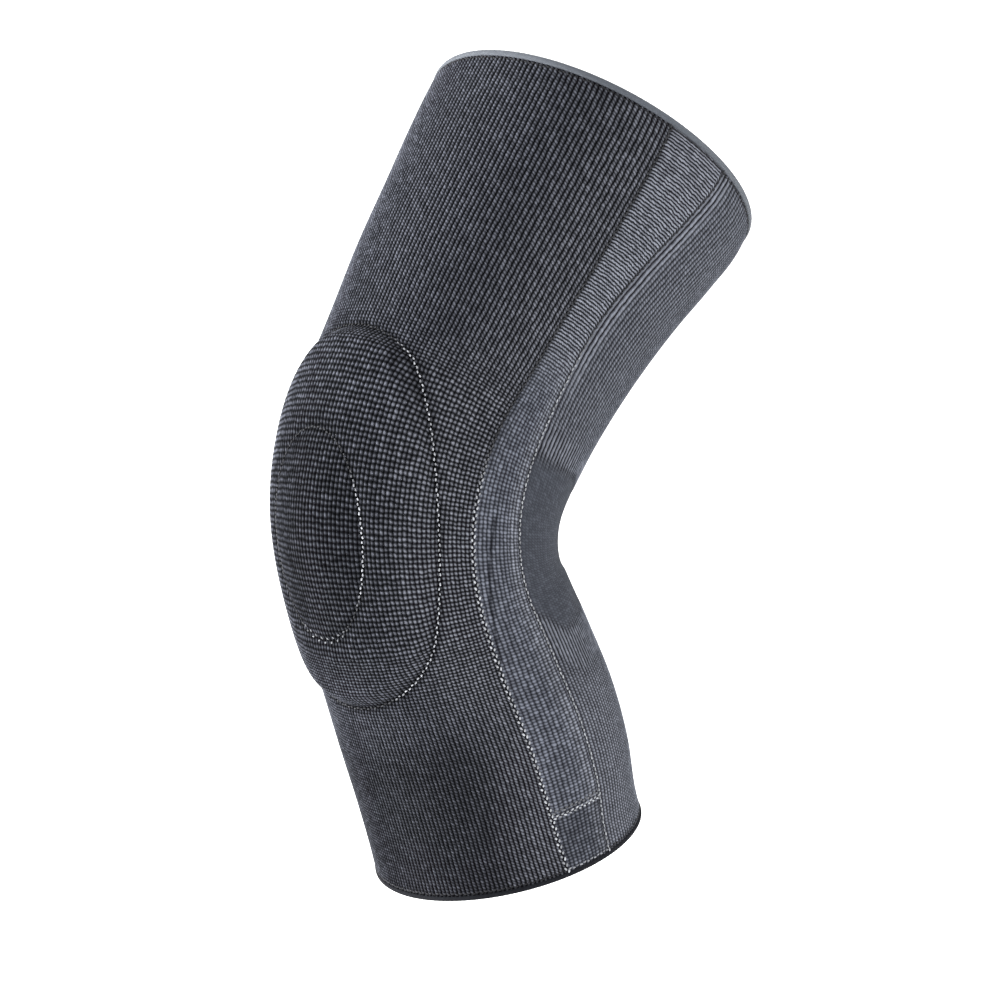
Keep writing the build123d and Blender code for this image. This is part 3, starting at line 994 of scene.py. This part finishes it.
def sewRow(name, distance, angle, rise, pitch, tone, zigzag=stitch["zigzag"], length=stitch["length"],
           width=stitch["width"]):
    # tone is one value for each step of the path, or a function of the distance, or one number
    tones = tone if isinstance(tone, np.ndarray) else None
    points, at, vectors, tones = evenRow(distance, angle, rise + stitch["proud"], pitch, tones)
    spread = lambda value: value(at) if callable(value) else np.full(len(points), value)
    tones = spread(tone) if tones is None else tones
    settings = dict(stitchLength=length, stitchWidth=width, stitchHeight=stitch["height"], thread=seamThread)
    return growOnRow(name, points, dict(vectors, tone=tones, zigzag=spread(zigzag)), stitchTree, settings)


seamInset = 0.0006
seamSteps = 400
alongSeam = np.linspace(knitLow + seamInset, knitHigh - seamInset, seamSteps)


def seamTone(seam):
    # dark thread on the thigh, pale further down
    return lambda d: seam["tone"] + seam["toneMore"] * smoothStep(*seam["changes"], d)


for sideName, mark in sides.items():
    frontEdge, backEdge = channelEdges(alongSeam)
    frontRise = frontSeam["rise"] + frontSeam["riseMore"] * smoothStep(*frontSeam["changes"], alongSeam)
    frontRow = sewRow(
        sideName + "_front_seam", alongSeam, mark * frontEdge, frontRise, frontSeam["pitch"],
        seamTone(frontSeam), width=frontSeam["width"],
        zigzag=lambda d: frontSeam["zigzag"] + frontSeam["zigzagMore"] * smoothStep(*frontSeam["changes"], d))
    backRow = sewRow(sideName + "_back_seam", alongSeam, mark * backEdge, backSeam["rise"], backSeam["pitch"],
                     seamTone(backSeam))
    for row in (frontRow, backRow):
        acrossKnee(row)
    tackRows = []
    for count, tone in enumerate(tack["tones"]):
        at = tack["middle"] + (count - 0.5) * tack["width"]
        first, last = channelEdges(at)
        reach = np.linspace(first + tack["inset"], last - tack["inset"], tack["steps"]) * mark
        tackRows.append(sewRow(f"{sideName}_tack_row_{count + 1}", at, reach, channel["rise"] + tack["proud"],
                               tack["pitch"], tone, zigzag=tack["zigzag"], length=tack["length"]))
    for row in tackRows:
        onBody(row, "shin_section")
    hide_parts(sideName + "_channel_tack")
    coilPath = np.linspace(stay["low"], stay["high"], stay["steps"])
    middle = np.sum(channelEdges(coilPath), axis=0) / 2 * mark
    row = evenRow(coilPath, middle, stay["depth"], stay["pitch"])
    settings = {key: stay[key] for key in ("width", "thickness", "wire")}
    settings["steel"] = staySteel
    coil = growOnRow(sideName + "_spring_stay", row[0], row[2], coilTree, settings)
    acrossKnee(coil)
    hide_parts(sideName + "_stay")
    for tip in ("_stay_upper_tip", "_stay_lower_tip"):
        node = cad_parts[sideName + tip]
        node.data.materials.clear()
        node.data.materials.append(tipPlastic)
print("stays, tips, tacks and channel seams made")

# Stitching round the pad and its window, and along both hems.

oval = dict(steps=400, sunk=0.45, tone=0.04, paleTone=0.86, paleEase=0.25, atFoot=(-0.80, -0.95),
            footStart=0.85, footEase=0.003, length=0.0015)
ovalRows = dict(
    pad_seam=dict(name="outer", swing=0.00022, endSwing=0.00022, endTone=0.10, pitch=0.0021,
                  paleFrom=0.30, medialTone=0.80),
    window_seam=dict(name="window", swing=0.00020, endSwing=0.00090, endTone=0.40, pitch=0.0020,
                     paleFrom=0.72, medialTone=0.10),
)
ovalTurn = np.linspace(0.0, 2 * math.pi, oval["steps"])
for name, seam in ovalRows.items():
    distance, angle = onOval(seam["name"], 1.0, ovalTurn)
    rise = padRise(distance, angle) - oval["sunk"] * seamGroove(distance, angle)
    # the thread shows pale down the sides; it is painted dark as painted shade at the ends, where it sinks
    # in, and down the window's inner side
    sides = np.sin(ovalTurn)
    atFoot = smoothStep(*oval["atFoot"], np.cos(ovalTurn))
    paleTo = seam["paleFrom"] + oval["paleEase"]
    tone = oval["tone"] + oval["paleTone"] * smoothStep(seam["paleFrom"], paleTo, sides)
    tone = np.maximum(tone, seam["endTone"] * atFoot)
    tone = tone + seam["medialTone"] * smoothStep(seam["paleFrom"], paleTo, -sides)
    foot = onOval(seam["name"], -oval["footStart"], 0.0)[0]
    more = seam["endSwing"] - seam["swing"]
    swing = lambda d: seam["swing"] + more * smoothStep(foot, foot - oval["footEase"], d)
    row = sewRow(name, distance, angle, rise, seam["pitch"], tone, zigzag=swing, length=oval["length"])
    acrossKnee(row)

hem = dict(steps=900, pitch=0.0019, tone=0.02, calfTone=0.5, rise=0.12, thighInset=0.0011, calfInset=0.0012)
hemTurn = np.linspace(0.0, 360.0, hem["steps"])
for name, plane, body, shine in (("thigh_hem", knitHigh - hem["thighInset"], "thigh_section", 0.0),
                                 ("calf_hem", knitLow + hem["calfInset"], "shin_section", hem["calfTone"])):
    onChannel = np.abs(signedAngle(hemTurn))
    firstEdge, lastEdge = channelEdges(plane)
    inside = smoothStep(firstEdge, firstEdge + 1, onChannel) * smoothStep(lastEdge, lastEdge - 1, onChannel)
    row = sewRow(name, plane, hemTurn, channel["rise"] * hem["rise"] * inside, hem["pitch"],
                 hem["tone"] + shine * inside)
    onBody(row, body)
print("pad seams and hems made")
